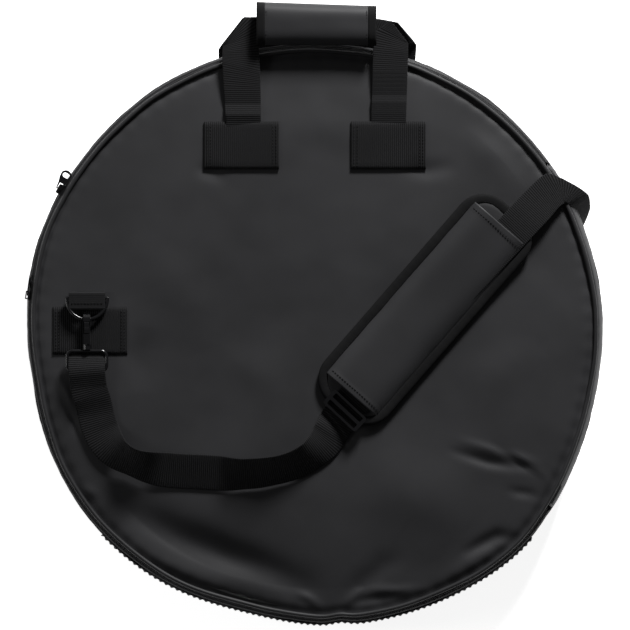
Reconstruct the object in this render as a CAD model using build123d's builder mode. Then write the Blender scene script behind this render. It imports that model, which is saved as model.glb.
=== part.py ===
"""Round padded cymbal bag, lying on its back panel.

Millimetres. Z is up, the origin is on the floor under the middle of the bag.
The zip runs round the left of the bag, so the front panel opens as a lid about the chord
between the two ends of the zip, on the right.
"""
from math import atan2, cos, degrees, hypot, radians, sin, sqrt
import os

from build123d import *

# ---- driving dimensions -------------------------------------------------------------------
RIM_R = 292.0            # edge of the front and back panels
FLAT_R = 60.0            # flat middle of the back panel
BACK_RISE = 22.0         # how far the back panel curves up at its edge
CROWN_R = 150.0          # flat middle of the front panel
CROWN_DROP = 10.0        # how far the front panel falls at its edge
FRONT_TOP = 72.0         # top of the front panel
SKIN = 1.5
FOAM = 8.0
LINING = 1.0
LAYER_GAP = 0.05
INNER_R = 285.5          # edge of the padding and lining

PIPE_R = 295.0           # middle line of both pipings
PIPE_D = 5.0
FRONT_PIPE_Z = 62.5
BACK_PIPE_Z = 21.0

GUSSET_R = 303.2         # widest line of the gusset
GUSSET_Z = 41.75
GUSSET_BOW = 7.0         # how far the gusset bows out between the pipings
GUSSET_HALF = 20.75
GUSSET_FOAM = 5.0

ZIP_END = 36.0           # degrees either side of +X where the zip stops
HINGE_X = 241.0          # chord that the lid opens about
HINGE_GAP = 2.0          # half the gap between the lid and the fixed part
GUARD_START, GUARD_END = 223.0, 317.0
GUARD_RIB_PITCH = 6.5

WEB_W = 38.0             # webbing
WEB_T = 1.5
PATCH_W, PATCH_H = 78.0, 50.0
HANDLE_PATCH_X = (-77.0, 76.0)
HANDLE_PATCH_Y = 198.0
RING_PATCH = (-235.0, 5.0)
REAR_RING_PATCH = (248.0, 32.0)
REAR_RING_PATCH_W = 74.0

WIRE = 3.6               # D-rings and eyes
RING_W, RING_DEPTH = 42.4, 22.0      # to the middle of the wire
FRONT_RING = (-238.0, 17.0, 76.4)    # middle of the D-ring's wire inside the hook
REAR_RING = (250.0, 20.0, 5.35)

SLIDER_A = (150.2, 308.0, 51.5)      # angle, radius and height of the standing slider
SLIDER_B = (172.0, 301.3, 56.4)      # the same for the one lying flat on the coil

GRIP_X0, GRIP_X1 = -61.0, 63.0
GRIP_Y0, GRIP_Y1 = 303.0, 347.0
GRIP_Z0, GRIP_Z1 = 64.5, 82.5
HANDLE_Z = 69.3

STRAP_Z = 74.2           # underside of the strap where it lies on the front panel
PAD_STRAP_Z = 80.3       # underside of the strap where it lies on the pad
PAD_MIDDLE = (114.0, 27.0)
PAD_ANGLE = 49.0
PAD_L, PAD_W = 278.0, 88.0
FACE_L, FACE_W = 238.0, 67.0
STRAP_START = (30.6, -78.1)          # the straight run through the pad
STRAP_HEADING = 46.9
STRAP_RUN = 290.0

os.makedirs("parts", exist_ok=True)


def save(name, part):
    part.label = name
    export_step(part, f"parts/{name}.step")


# ---- surfaces ------------------------------------------------------------------------------
def arc_drop(r, flat_r, drop):
    """Height that an arc tangent to the flat middle has lost at radius r."""
    if r <= flat_r:
        return 0.0
    span = RIM_R - flat_r
    radius = (span**2 + drop**2) / (2 * drop)
    return radius - sqrt(radius**2 - (r - flat_r) ** 2)


def back_z(r):
    return arc_drop(r, FLAT_R, BACK_RISE)


def front_z(r):
    return FRONT_TOP - arc_drop(r, CROWN_R, CROWN_DROP)


def gusset_r(z, inset=0.0):
    """Radius of the bowed gusset at height z, inset from its outer face."""
    radius = (GUSSET_HALF**2 + GUSSET_BOW**2) / (2 * GUSSET_BOW)
    return GUSSET_R - radius + sqrt((radius - inset) ** 2 - (z - GUSSET_Z) ** 2)


def dish(surface, flat_r, offset, thick, end_r):
    """A round panel that follows a crowned surface, between offset and offset + thick."""
    middle_r = (flat_r + end_r) / 2
    with BuildPart() as panel:
        with BuildSketch(Plane.XZ):
            with BuildLine():
                curves = []
                for level in (offset, offset + thick):
                    flat = (0, surface(0) + level), (flat_r, surface(flat_r) + level)
                    Line(*flat)
                    ThreePointArc(flat[1], (middle_r, surface(middle_r) + level),
                                  (end_r, surface(end_r) + level))
                    curves.append(level)
                Line((0, surface(0) + curves[0]), (0, surface(0) + curves[1]))
                Line((end_r, surface(end_r) + curves[0]), (end_r, surface(end_r) + curves[1]))
            make_face()
        revolve(axis=Axis.Z)
    return panel.part


def front_dish(offset, thick, end_r=RIM_R):
    return dish(front_z, CROWN_R, offset, thick, end_r)


def back_dish(offset, thick, end_r=RIM_R):
    return dish(back_z, FLAT_R, offset, thick, end_r)


def cut_to(part, x0, x1, y0, y1):
    """The piece of a panel over a rectangle."""
    with BuildPart() as piece:
        add(part)
        with BuildSketch(Plane.XY.offset(-100)):
            with Locations(((x0 + x1) / 2, (y0 + y1) / 2)):
                Rectangle(x1 - x0, y1 - y0)
        extrude(amount=300, mode=Mode.INTERSECT)
    return piece.part


def lid_side(part):
    return cut_to(part, -400, HINGE_X - HINGE_GAP, -400, 400)


def spine_side(part):
    return cut_to(part, HINGE_X + HINGE_GAP, 400, -400, 400)


def sector(part, start, end):
    """The piece of a round part between two angles, in degrees."""
    steps = [start + (end - start) * i / 8 for i in range(9)]
    with BuildPart() as piece:
        add(part)
        with BuildSketch(Plane.XY.offset(-50)):
            Polygon((0, 0), *[(700 * cos(radians(a)), 700 * sin(radians(a))) for a in steps],
                    align=None)
        extrude(amount=250, mode=Mode.INTERSECT)
    return piece.part


def gusset_band(z0, z1, inset, thick):
    """A ring of the gusset between two heights, thick inwards from its inset face."""
    zm = (z0 + z1) / 2
    with BuildPart() as band:
        with BuildSketch(Plane.XZ):
            with BuildLine():
                ends = []
                for depth in (inset, inset + thick):
                    low, high = (gusset_r(z0, depth), z0), (gusset_r(z1, depth), z1)
                    ThreePointArc(low, (gusset_r(zm, depth), zm), high)
                    ends.append((low, high))
                Line(ends[0][0], ends[1][0])
                Line(ends[0][1], ends[1][1])
            make_face()
        revolve(axis=Axis.Z)
    return band.part


def piping(z, start=0.0, end=360.0):
    """Round cord in its sleeve, between two angles in degrees."""
    turn = radians(start)
    section = Plane(origin=(0, 0, z), x_dir=(cos(turn), sin(turn), 0),
                    z_dir=(sin(turn), -cos(turn), 0))
    with BuildPart() as pipe:
        with BuildSketch(section):
            with Locations((PIPE_R, 0)):
                Circle(PIPE_D / 2)
        revolve(axis=Axis.Z, revolution_arc=end - start)
    return pipe.part


# ---- shell ---------------------------------------------------------------------------------
def back_shell():
    save("back_panel", back_dish(0, SKIN))
    save("back_padding", back_dish(SKIN + LAYER_GAP, FOAM, INNER_R))
    save("back_lining", back_dish(SKIN + FOAM + 2 * LAYER_GAP, LINING, INNER_R))
    save("back_piping", piping(BACK_PIPE_Z))


def front_shell():
    """The lid, and the fixed piece of the front between the ends of the zip."""
    foam_top = -SKIN - LAYER_GAP
    lining_top = foam_top - FOAM - LAYER_GAP
    skin = front_dish(-SKIN, SKIN)
    foam = front_dish(foam_top - FOAM, FOAM, INNER_R)
    lining = front_dish(lining_top - LINING, LINING, INNER_R)
    save("front_panel", lid_side(skin))
    save("front_padding", lid_side(foam))
    save("front_lining", lid_side(lining))
    save("front_piping", piping(FRONT_PIPE_Z, ZIP_END + 0.4, 360 - ZIP_END - 0.4))
    save("spine_panel", spine_side(skin))
    save("spine_padding", spine_side(foam))
    save("spine_lining", spine_side(lining))
    save("spine_piping", piping(FRONT_PIPE_Z, -ZIP_END + 1, ZIP_END - 1))


def gusset():
    low, split, high = BACK_PIPE_Z + 3.2, 49.5, FRONT_PIPE_Z - 3.0
    panel = gusset_band(low, split, 0, SKIN)
    quarters = [sector(panel, start + 0.02, start + 89.98) for start in (45, 135, 225, 315)]
    save("gusset_panel", Compound(children=quarters))
    inset = SKIN + LAYER_GAP
    save("gusset_padding", gusset_band(low + 7, high - 10, inset, GUSSET_FOAM))
    inset += GUSSET_FOAM + LAYER_GAP
    save("gusset_lining", gusset_band(low + 7, high - 10, inset, LINING))
    spine = gusset_band(split + 0.2, high, 0, SKIN)
    save("spine_gusset", sector(spine, -ZIP_END + 0.3, ZIP_END - 0.3))


def scuff_guard():
    """Ribbed rubber strip sewn round the foot of the gusset."""
    strip = gusset_band(BACK_PIPE_Z + 6, 48, -1.6, 1.55)
    arc = GUARD_END - GUARD_START
    count = round(radians(arc) * GUSSET_R / GUARD_RIB_PITCH)
    with BuildPart() as guard:
        add(sector(strip, GUARD_START, GUARD_END))
        with BuildSketch(Plane.XY.offset(GUSSET_Z - 9)):
            for i in range(count):
                angle = radians(GUARD_START + arc * (i + 0.5) / count)
                with Locations(((GUSSET_R + 2.3) * cos(angle), (GUSSET_R + 2.3) * sin(angle))):
                    Circle(GUARD_RIB_PITCH * 0.32)
        extrude(amount=14)
    save("bottom_guard", guard.part)


def zip_fastener():
    """Two tapes with their coils: the lower pair stays with the gusset, the upper with the lid."""
    levels = {"zipper_tape_base": (49.7, 54.4, 0.2, 0.9), "zipper_teeth_base": (54.5, 56.2, -0.4, 1.8),
              "zipper_teeth_lid": (56.5, 58.1, -0.4, 1.8), "zipper_tape_lid": (58.2, 59.5, 0.2, 0.9)}
    for name, (z0, z1, inset, thick) in levels.items():
        band = gusset_band(z0, z1, inset, thick)
        margin = ZIP_END + (0.8 if name.endswith("lid") else 0.1)
        save(name, sector_long(band, margin, 360 - margin))
    with BuildPart() as tabs:
        for sign in (1, -1):
            angle = radians(sign * (ZIP_END - 2.6))
            spot = Plane(origin=((GUSSET_R + 0.3) * cos(angle), (GUSSET_R + 0.3) * sin(angle), 50.5),
                         x_dir=(cos(angle), sin(angle), 0), z_dir=(0, 0, 1))
            with BuildSketch(spot):
                RectangleRounded(1.2, 22, 0.5)
            extrude(amount=8)
    save("zipper_end_tabs", tabs.part)


def sector_long(part, start, end):
    """A sector wider than half a turn, cut as the part less the rest of it."""
    rest = [end + (360 + start - end) * i / 8 for i in range(9)]
    with BuildPart() as piece:
        add(part)
        with BuildSketch(Plane.XY.offset(-50)):
            Polygon((0, 0), *[(700 * cos(radians(a)), 700 * sin(radians(a))) for a in rest],
                    align=None)
        extrude(amount=250, mode=Mode.SUBTRACT)
    return piece.part


def divider():
    """Loose fleece page between the cymbals, sewn in along the hinge chord."""
    with BuildPart() as page:
        with BuildSketch(Plane.XY.offset(34)):
            Circle(268)
            with Locations((HINGE_X - 12 + 200, 0)):
                Rectangle(400, 700, mode=Mode.SUBTRACT)
        extrude(amount=3)
    save("divider", page.part)


# ---- webbing patches, tails and handles ------------------------------------------------------
def patches():
    """Webbing rectangles, sewn over the webbing tails that they hold to the panels."""
    half_w, half_h = PATCH_W / 2, PATCH_H / 2
    tail_half = WEB_W / 2
    pieces = {"front_patches": [], "rear_patches": [], "front_tails": [], "rear_tails": []}
    for x in HANDLE_PATCH_X:
        y0, y1 = HANDLE_PATCH_Y - half_h, HANDLE_PATCH_Y + half_h
        box = (x - half_w, x + half_w, y0, y1)
        over = WEB_T + LAYER_GAP
        pieces["front_patches"].append(cut_to(front_dish(over, WEB_T, 288), *box))
        pieces["rear_patches"].append(cut_to(back_dish(-over - WEB_T, WEB_T, 288), *box))
        tail = (x - tail_half, x + tail_half)
        front_tail = cut_to(front_dish(0.02, WEB_T, 288), *tail, y0 + 4, y1 - 0.5)
        rear_tail = cut_to(back_dish(-WEB_T - 0.02, WEB_T, 289), *tail, y0 + 4, 400)
        pieces["front_tails"].append(front_tail)
        pieces["rear_tails"].append(rear_tail)
    for name, pair in pieces.items():
        save(name, Compound(children=pair))
    x, y = RING_PATCH
    save("front_ring_patch", cut_to(front_dish(0.02, WEB_T, 288), x - half_w, x + half_w,
                                    y - half_h, y + half_h))
    x, y = REAR_RING_PATCH
    half_w = REAR_RING_PATCH_W / 2
    save("rear_ring_patch", cut_to(back_dish(-WEB_T - 0.02, WEB_T, 289), x - half_w, x + half_w,
                                   y - half_h, y + half_h))


def front_handle():
    """Front webbing loop, lying out over the rim, folded at its corners into the grip."""
    with BuildPart() as loop:
        with BuildSketch(Plane.XY.offset(HANDLE_Z)):
            Polygon((-95, 225.5), (-98, 287), (-98, 304), (-76, 331), (78, 327), (97, 304),
                    (96.5, 287), (95, 225.5), (57, 225.5), (58.5, 290), (64.5, 302), (64.5, 306),
                    (-62.5, 306), (-62.5, 302), (-59, 290), (-57, 225.5), align=None)
        extrude(amount=WEB_T)
    save("front_handle_webbing", loop.part)
    middle_x, length = (GRIP_X0 + GRIP_X1) / 2, GRIP_X1 - GRIP_X0
    middle_y, middle_z = (GRIP_Y0 + GRIP_Y1) / 2, (GRIP_Z0 + GRIP_Z1) / 2
    width, height = GRIP_Y1 - GRIP_Y0, GRIP_Z1 - GRIP_Z0
    section = Plane(origin=(middle_x - length / 2, middle_y, middle_z), x_dir=(0, 1, 0),
                    z_dir=(1, 0, 0))
    with BuildPart() as wrap:
        with BuildSketch(section):
            RectangleRounded(width, height, 8)
            RectangleRounded(width - 3, height - 3, 6.5, mode=Mode.SUBTRACT)
        extrude(amount=length)
    save("grip_wrap", wrap.part)
    with BuildPart() as foam:
        with BuildSketch(section):
            RectangleRounded(width - 3.4, height - 3.4, 6.3)
            with Locations((-6, HANDLE_Z + WEB_T / 2 - middle_z)):
                Rectangle(27, WEB_T + 0.4, mode=Mode.SUBTRACT)
        extrude(amount=length)
    save("grip_padding", foam.part)
    top = Plane.XY.offset(GRIP_Z1 + 0.2)
    with BuildPart() as loop_strip:
        with BuildSketch(top):
            with Locations((middle_x, middle_y)):
                RectangleRounded(length - 20, 22, 2)
        extrude(amount=0.9)
    save("grip_loop_strip", loop_strip.part)
    with BuildPart() as hook_strip:
        with BuildSketch(top.offset(1.1)):
            with Locations((middle_x, middle_y)):
                RectangleRounded(length - 20, 22, 2)
        extrude(amount=0.9)
    save("grip_hook_strip", hook_strip.part)
    with BuildPart() as flap:
        with BuildSketch(top.offset(2.05)):
            with Locations((middle_x, middle_y)):
                RectangleRounded(length - 14.4, width, 3)
        extrude(amount=1.8)
    save("grip_flap", flap.part)
    with BuildPart() as bindings:
        with BuildSketch(top.offset(1.3)):
            with Locations((GRIP_X0 + 3.4, middle_y), (GRIP_X1 - 3.4, middle_y)):
                RectangleRounded(7, width, 2)
        extrude(amount=3.2)
    save("grip_bindings", bindings.part)


def rear_handle():
    """Rear webbing loop, standing up from the back rim to just under the grip."""
    tilt = 55.0
    plane = Plane(origin=(0, 304, 15), x_dir=(1, 0, 0), z_dir=(0, -sin(radians(tilt)),
                                                              cos(radians(tilt))))
    with BuildPart() as loop:
        with BuildSketch(plane):
            Polygon((-101, 0), (-102, 20), (-76, 46), (86, 45), (106, 20), (105, 0), (67, 0),
                    (66, 18), (60, 24), (-58, 24), (-62, 18), (-63, 0), align=None)
        extrude(amount=WEB_T)
    save("rear_handle_webbing", loop.part)


# ---- D-rings, tabs and snap hooks --------------------------------------------------------------
def hardware(side, place):
    """One D-ring in its webbing tab, with a swivel snap hook on it.

    The local origin is the middle of the ring's wire inside the hook, Y runs back to the tab
    and Z points away from the panel.
    """
    plane = Plane(origin=place, x_dir=(1, 0, 0), z_dir=(0, 0, 1 if side == "front" else -1))
    bar_y, bar_z = RING_DEPTH, -3.0
    bar = plane.from_local_coords(Vector(0, bar_y, bar_z))
    side_plane = Plane(origin=plane.from_local_coords(Vector(-WEB_W / 2, 0, 0)), x_dir=plane.y_dir,
                       z_dir=plane.x_dir)
    with BuildPart() as tab:
        with BuildSketch(side_plane):
            with Locations((bar_y - 0.75, bar_z)):
                SlotOverall(14.5, 6.8)
            with Locations((bar_y, bar_z)):
                Circle(WIRE / 2 + 0.3, mode=Mode.SUBTRACT)
            with Locations((bar_y - 9.2, bar_z + 1.6)):
                Rectangle(12, 7, mode=Mode.SUBTRACT)
        extrude(amount=WEB_W)
    save(f"{side}_ring_tab", tab.part)

    lean = Plane(origin=bar, x_dir=plane.x_dir,
                 z_dir=plane.from_local_coords(Vector(0, -bar_z, RING_DEPTH)) - plane.origin)
    reach = hypot(RING_DEPTH, bar_z)
    with BuildPart() as ring:
        with BuildLine(lean) as bow:
            ThreePointArc((-RING_W / 2, 0), (0, -reach), (RING_W / 2, 0))
        with BuildSketch(Plane(origin=bow.line @ 0, z_dir=bow.line % 0)):
            Circle(WIRE / 2)
        sweep(path=bow.line)
        with BuildSketch(Plane(origin=lean.from_local_coords(Vector(-RING_W / 2, 0, 0)),
                               z_dir=lean.x_dir)):
            Circle(WIRE / 2)
        extrude(amount=RING_W)
        with Locations([lean.from_local_coords(Vector(s * RING_W / 2, 0, 0)) for s in (-1, 1)]):
            Sphere(WIRE / 2)
    save(f"{side}_d_ring", ring.part)

    jaw = Plane(origin=plane.from_local_coords(Vector(-3.5, 0, 0)), x_dir=plane.y_dir,
                z_dir=plane.x_dir)
    with BuildPart() as body:
        with BuildSketch(jaw):
            with BuildLine():
                Polyline((0.5, -5), (-26, -5), (-26, 5), (-15.5, 5), (-15.5, -2.1), (0, -2.1))
                ThreePointArc((0, -2.1), (2.1, 0), (0, 2.1))
                Polyline((0, 2.1), (-2.2, 2.1), (-2.2, 5), (0.5, 5))
                ThreePointArc((0.5, 5), (5.5, 0), (0.5, -5))
            make_face()
        extrude(amount=7)
        with BuildSketch(Plane(origin=plane.from_local_coords(Vector(0, -26, 0)),
                               z_dir=-plane.y_dir)):
            Circle(2.0)
        extrude(amount=4.4)
    save(f"{side}_hook_body", body.part)
    with BuildPart() as gate:
        with BuildSketch(jaw.offset(1)):
            with Locations((-8.9, 3.6)):
                SlotOverall(12.6, 2.6)
            with Locations((-10.5, 4.3)):
                RectangleRounded(4, 1.6, 0.7)
        extrude(amount=5)
    save(f"{side}_hook_gate", gate.part)
    with BuildPart() as barrel:
        with BuildSketch(Plane(origin=plane.from_local_coords(Vector(0, -26.4, 0)),
                               z_dir=-plane.y_dir)):
            Circle(4.4)
            Circle(2.2, mode=Mode.SUBTRACT)
        extrude(amount=5.2)
    eye_plane = Plane(origin=plane.from_local_coords(Vector(0, -43.4, 0)), x_dir=plane.x_dir,
                      z_dir=plane.z_dir)
    with BuildSketch(eye_plane) as loop:
        RectangleRounded(41.2, 20.8, 6)
    outline = loop.sketch.face().outer_wire()
    with BuildPart() as eye:
        add(barrel.part)
        with BuildSketch(Plane(origin=outline @ 0, z_dir=outline % 0)):
            Circle(WIRE / 2)
        sweep(path=outline)
    save(f"{side}_swivel_eye", eye.part)


# ---- zip sliders and pulls -----------------------------------------------------------------
def slider(name, plane, inner, body_height, gap, pull_thick):
    """Slider body with its bridge, and the flat pull whose end bar turns under the bridge.

    The plane lies on the slider's foot, with Y along the zip.
    """
    outer = 2.0 if inner < -4 else 3.1
    with BuildPart() as body:
        with BuildSketch(plane):
            with Locations(((inner + outer) / 2, 0)):
                RectangleRounded(outer - inner, 10.5, 1.6)
        extrude(amount=body_height)
        with BuildSketch(plane.offset(body_height)):
            with Locations((0.6, -3.6), (0.6, 3.6)):
                Rectangle(2.0, 1.4)
        extrude(amount=gap)
        with BuildSketch(plane.offset(body_height + gap)):
            with Locations((0.6, 0)):
                RectangleRounded(2.0, 8.6, 0.6)
        extrude(amount=1.0)
    save(f"slider_{name}", body.part)
    with BuildPart() as pull:
        with BuildSketch(plane.offset(body_height + (gap - pull_thick) / 2)):
            with BuildLine():
                Polyline((-2.4, 0.6), (3.6, 0.6), (4.4, -6), (6.2, -12), (6.4, -17))
                RadiusArc((6.4, -17), (-5.2, -17), 6.2)
                Polyline((-5.2, -17), (-5.0, -12), (-3.2, -6), (-2.4, 0.6))
            make_face()
            with Locations((0.6, -3.4)):
                RectangleRounded(4.0, 5.6, 0.7, mode=Mode.SUBTRACT)
            with Locations((0.6, -15.6)):
                SlotOverall(7.6, 5.0, rotation=0, mode=Mode.SUBTRACT)
        extrude(amount=pull_thick)
    save(f"pull_{name}", pull.part)


def sliders():
    """One slider stands beside the zip and the other lies flat on its coil."""
    angle, radius, height = SLIDER_A
    out = Vector(cos(radians(angle)), sin(radians(angle)), 0)
    slider("a", Plane(origin=out * radius + Vector(0, 0, height), x_dir=out, z_dir=(0, 0, 1)),
           -6.0, 8.0, 2.4, 1.6)
    angle, radius, height = SLIDER_B
    out = Vector(cos(radians(angle)), sin(radians(angle)), 0)
    slider("b", Plane(origin=out * radius + Vector(0, 0, height), x_dir=(0, 0, -1), z_dir=out),
           -3.1, 1.6, 1.8, 1.2)


# ---- shoulder strap --------------------------------------------------------------------------
def ribbon(name, route, z, radii):
    """Flat webbing lying in plan along a route of straight runs and tangent arcs."""
    with BuildPart() as strip:
        with BuildSketch(Plane.XY.offset(z)):
            with BuildLine() as line:
                FilletPolyline(*route, radius=radii)
            trace(line_width=WEB_W)
        extrude(amount=WEB_T)
    length = sum(edge.length for edge in line.line.edges())
    print(name, "radii", radii, "length", round(length, 1),
          "volume share", round(strip.part.volume / (length * WEB_W * WEB_T), 3))
    save(name, strip.part)


def strap():
    """Lower run from the front hook to the pad, the straight run through it, and the run that
    goes over the rim and back under the bag to the rear hook."""
    heading = radians(STRAP_HEADING)
    along = Vector(cos(heading), sin(heading), 0)
    across = along.cross(Vector(0, 0, 1))
    start = Vector(*STRAP_START, 0)

    foot = start - along * 34
    lower = [(-234, -44), (-228, -66), (-226, -93), (-214, -116), (-190, -131), (-158, -137),
             (-121, -139), (-80, -146), (-46, -144), (-18, -128), (foot.X, foot.Y)]
    ribbon("strap_lower", lower, STRAP_Z, corner_radii(lower))

    section = Plane(origin=start - across * WEB_W / 2, x_dir=along, z_dir=across)
    levels = [(-32.0, STRAP_Z), (-22, STRAP_Z + 1), (-10, PAD_STRAP_Z), (STRAP_RUN, PAD_STRAP_Z),
              (STRAP_RUN + 18, 72.5)]
    with BuildPart() as run:
        with BuildSketch(section):
            lifted = [(x, z + WEB_T) for x, z in levels]
            Polygon(*levels, *reversed(lifted), align=None)
        extrude(amount=WEB_W)
    save("strap_run", cut_to(run.part, -400, HINGE_X - 3, -400, 400))

    over = [(STRAP_RUN + 26, 68.5), (STRAP_RUN + 38, 66.3), (STRAP_RUN + 52, 61),
            (STRAP_RUN + 59, 46), (STRAP_RUN + 56, 27), (STRAP_RUN + 43, 13), (STRAP_RUN + 26, 7)]
    with BuildPart() as side:
        with BuildSketch(section):
            with BuildLine():
                FilletPolyline(*over, radius=corner_radii(over))
            trace(line_width=WEB_T)
        extrude(amount=WEB_W)
    save("strap_side", cut_to(side.part, HINGE_X + 8, 400, 0, 400))

    ends = [start + along * (STRAP_RUN + reach) for reach in (25, 12)]
    under = [(ends[0].X, ends[0].Y), (ends[1].X, ends[1].Y), (232, 122), (238, 103), (248, 85)]
    ribbon("strap_under", under, 4.2, corner_radii(under))


def corner_radii(points):
    """The largest arc at each corner that leaves a tenth of its shorter run straight."""
    radii = []
    for before, here, after in zip(points, points[1:], points[2:]):
        first = Vector(here[0] - before[0], here[1] - before[1])
        second = Vector(after[0] - here[0], after[1] - here[1])
        half_turn = radians(first.get_angle(second)) / 2
        shorter = min(first.length, second.length)
        radii.append(round(0.45 * shorter / (sin(half_turn) / cos(half_turn)), 1))
    return radii


def tri_glide():
    """Three-bar slide that sets the strap's length, lying on the strap at the end of the pad."""
    turn = radians(STRAP_HEADING)
    spot = Plane(origin=(*STRAP_START, PAD_STRAP_Z + WEB_T + 0.3),
                 x_dir=(cos(turn), sin(turn), 0), z_dir=(0, 0, 1))
    with BuildPart() as glide:
        with BuildSketch(spot):
            RectangleRounded(19, 46, 3)
            with Locations((-4.5, 0), (4.5, 0)):
                RectangleRounded(5.4, 38.6, 1, mode=Mode.SUBTRACT)
        extrude(amount=2.8)
    save("tri_glide", glide.part)


def shoulder_pad():
    """Bound padded base under the strap, and the face that is sewn over the strap."""
    turn = radians(PAD_ANGLE)
    spot = Plane(origin=(*PAD_MIDDLE, 0), x_dir=(cos(turn), sin(turn), 0), z_dir=(0, 0, 1))
    layers = [("pad_backing", PAD_L - 17, PAD_W - 17, 72.6, 1.4),
              ("pad_foam", PAD_L - 17, PAD_W - 17, 74.05, 5.4),
              ("pad_face", FACE_L, FACE_W, PAD_STRAP_Z + WEB_T + 0.4, 1.6)]
    for name, length, width, level, thick in layers:
        with BuildPart() as layer:
            with BuildSketch(spot.offset(level)):
                RectangleRounded(length, width, 14)
            extrude(amount=thick)
        save(name, layer.part)
    with BuildPart() as binding:
        with BuildSketch(spot.offset(72.4)):
            RectangleRounded(PAD_L, PAD_W, 22)
            RectangleRounded(PAD_L - 16.4, PAD_W - 16.4, 14, mode=Mode.SUBTRACT)
        extrude(amount=7.4)
    save("pad_binding", binding.part)


back_shell()
front_shell()
gusset()
scuff_guard()
zip_fastener()
divider()
patches()
front_handle()
rear_handle()
hardware("front", FRONT_RING)
hardware("rear", REAR_RING)
sliders()
strap()
tri_glide()
shoulder_pad()
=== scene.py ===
"""Round padded cymbal bag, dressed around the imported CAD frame. Metres, Z up."""
from math import copysign, cos, exp, pi, radians, sin, tau

import bmesh
import bpy
import numpy as np
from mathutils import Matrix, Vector, noise


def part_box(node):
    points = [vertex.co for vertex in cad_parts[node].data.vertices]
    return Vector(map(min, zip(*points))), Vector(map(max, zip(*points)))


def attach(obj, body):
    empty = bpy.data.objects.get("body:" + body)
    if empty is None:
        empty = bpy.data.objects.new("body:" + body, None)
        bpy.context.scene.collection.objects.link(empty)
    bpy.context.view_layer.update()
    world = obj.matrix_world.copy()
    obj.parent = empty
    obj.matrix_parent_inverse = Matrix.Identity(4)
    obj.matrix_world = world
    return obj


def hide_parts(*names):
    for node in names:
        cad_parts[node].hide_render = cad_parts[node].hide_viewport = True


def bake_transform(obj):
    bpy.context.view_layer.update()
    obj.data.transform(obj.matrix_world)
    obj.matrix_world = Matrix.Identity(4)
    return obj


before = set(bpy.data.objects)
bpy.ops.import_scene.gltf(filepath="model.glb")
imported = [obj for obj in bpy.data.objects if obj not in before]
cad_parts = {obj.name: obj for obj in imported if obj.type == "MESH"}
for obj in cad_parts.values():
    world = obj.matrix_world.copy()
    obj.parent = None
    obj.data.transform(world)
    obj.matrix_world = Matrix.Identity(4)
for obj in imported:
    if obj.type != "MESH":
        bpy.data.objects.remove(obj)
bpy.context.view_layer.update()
MM = 0.001

# ---- places taken from the frame ----
RIM_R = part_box("back_panel")[1][0]
FRONT_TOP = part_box("front_panel")[1][2]
FRONT_RIM_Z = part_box("front_piping")[1][2] - 2.5 * MM
BACK_RIM_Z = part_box("back_piping")[1][2] - 2.5 * MM
GUSSET_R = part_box("gusset_panel")[1][0]
PIPE_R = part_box("back_piping")[1][0] - 2.5 * MM
STRAP_W = 38 * MM
WEB_T = 1.5 * MM
RIB_PITCH = 2.1 * MM
CROWN_R, CROWN_DROP = 150 * MM, 10 * MM
FLAT_R, BACK_RISE = 60 * MM, 22 * MM
ZIP_END = radians(36)
GUSSET_BOW = 7 * MM
FOLD_DEPTH = 1.6


def arc_drop(r, flat_r, drop):
    """Height lost by an arc tangent to a flat middle, at radius r (numpy arrays too)."""
    span = RIM_R - flat_r
    radius = (span**2 + drop**2) / (2 * drop)
    out = np.clip(np.asarray(r, float) - flat_r, 0, radius * 0.99)
    return radius - np.sqrt(radius**2 - out**2)


def gusset_r(z):
    """Outer radius of the bowed gusset at height z."""
    half = (FRONT_RIM_Z - BACK_RIM_Z) / 2
    radius = (half**2 + GUSSET_BOW**2) / (2 * GUSSET_BOW)
    middle = (FRONT_RIM_Z + BACK_RIM_Z) / 2
    return GUSSET_R - radius + np.sqrt(radius**2 - (np.asarray(z, float) - middle) ** 2)


# Soft, empty bag: where its rim stands out or in, as (degrees, millimetres, width in degrees).
RIM_LOBES = [(62, 3.0, 26), (122, 4.4, 28), (158, 3.0, 14), (190, -3.6, 12), (215, 1.4, 14),
             (256, -6.2, 14), (275, -2.6, 2.2), (297, 1.6, 12), (314, 6.0, 13), (348, -3.6, 14),
             (12, -1.4, 15)]


def rim_shift(x, y):
    """Metres that the rim is pushed outwards at the bearing of each plan point."""
    bearing = np.degrees(np.arctan2(y, x))
    total = np.zeros_like(bearing)
    for degrees, amount, width in RIM_LOBES:
        away = (bearing - degrees + 180) % 360 - 180
        total += amount * MM * np.exp(-((away / width) ** 2))
    return total


def middle_of(node_name):
    low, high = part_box(node_name)
    return [(a + b) / 2 for a, b in zip(low, high)]


def heights_of(node_name):
    low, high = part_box(node_name)
    return low[2], high[2]


def push_rim(obj):
    """Move a finished mesh with the rim; the middle of the panels stays in place."""
    mesh = obj.data
    flat = np.empty(len(mesh.vertices) * 3)
    mesh.vertices.foreach_get("co", flat)
    points = flat.reshape(-1, 3)
    radius = np.hypot(points[:, 0], points[:, 1])
    share = np.clip((radius - 0.215) / 0.07, 0, 1) ** 2
    move = rim_shift(points[:, 0], points[:, 1]) * share / np.maximum(radius, 1e-6)
    points[:, 0] *= 1 + move
    points[:, 1] *= 1 + move
    mesh.vertices.foreach_set("co", points.ravel())
    mesh.update()
    return obj


# ---- mesh helpers ----
def add_object(name, data):
    obj = bpy.data.objects.new(name, data)
    bpy.context.scene.collection.objects.link(obj)
    return obj


def unit(rows):
    """Each row of an array scaled to length one."""
    return rows / np.linalg.norm(rows, axis=1)[:, None]


def distances(points):
    """Distance of each point along its line, from zero."""
    return np.concatenate([[0], np.cumsum(np.linalg.norm(np.diff(points, axis=0), axis=1))])


def sample(at, along, rows):
    """Rows of an array read off at places along a line."""
    return np.array([np.interp(at, along, column) for column in rows.T]).T


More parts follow.
